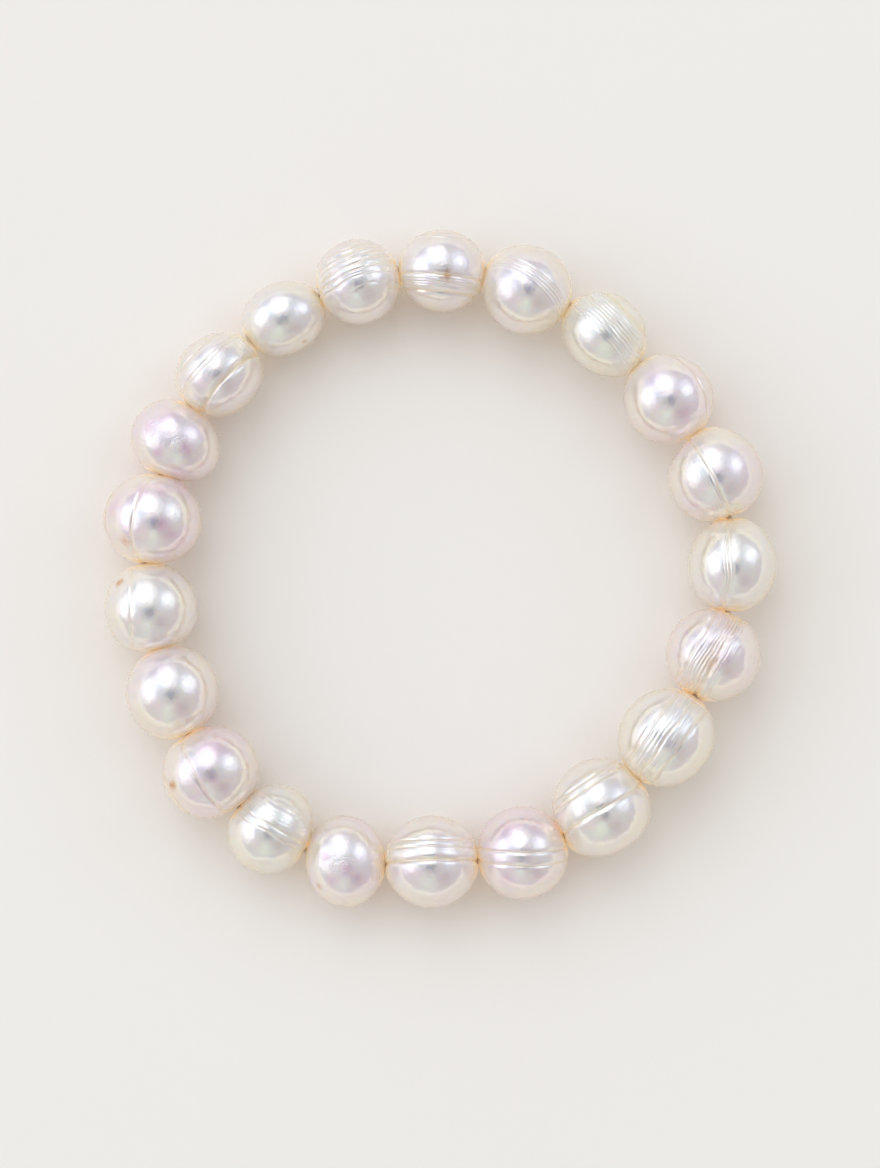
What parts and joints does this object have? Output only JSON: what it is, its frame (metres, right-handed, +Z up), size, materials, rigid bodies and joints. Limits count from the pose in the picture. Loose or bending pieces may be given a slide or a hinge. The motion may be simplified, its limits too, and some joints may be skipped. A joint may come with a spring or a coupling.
{
  "type": "pearl bracelet",
  "caption": "Closed loop of ringed, drilled freshwater pearls on an elastic thread, lying flat, to slip over a hand and sit round a wrist.",
  "frame": {"origin": "middle of the bracelet's outline, on the surface that it lies on", "axes": "+Z up, out of the loop's plane; +Y towards pearl_01, the top of the picture; +X to the picture's right"},
  "size_m": [0.0694, 0.07, 0.0101],
  "materials": {
    "nacre": "pearl nacre, creamy white with rose and blue-green overtones, high lustre",
    "elastic": "clear stretch thread, satin"
  },
  "bodies": {
    "root": {"pearl_01": "nacre", "pearl_02": "nacre", "pearl_03": "nacre", "pearl_04": "nacre", "pearl_05": "nacre", "pearl_06": "nacre", "pearl_07": "nacre", "pearl_08": "nacre", "pearl_09": "nacre", "pearl_10": "nacre", "pearl_11": "nacre", "pearl_12": "nacre", "pearl_13": "nacre", "pearl_14": "nacre", "pearl_15": "nacre", "pearl_16": "nacre", "pearl_17": "nacre", "pearl_18": "nacre", "pearl_19": "nacre", "pearl_20": "nacre", "pearl_21": "nacre", "elastic_thread": "elastic"}
  },
  "joints": []
}
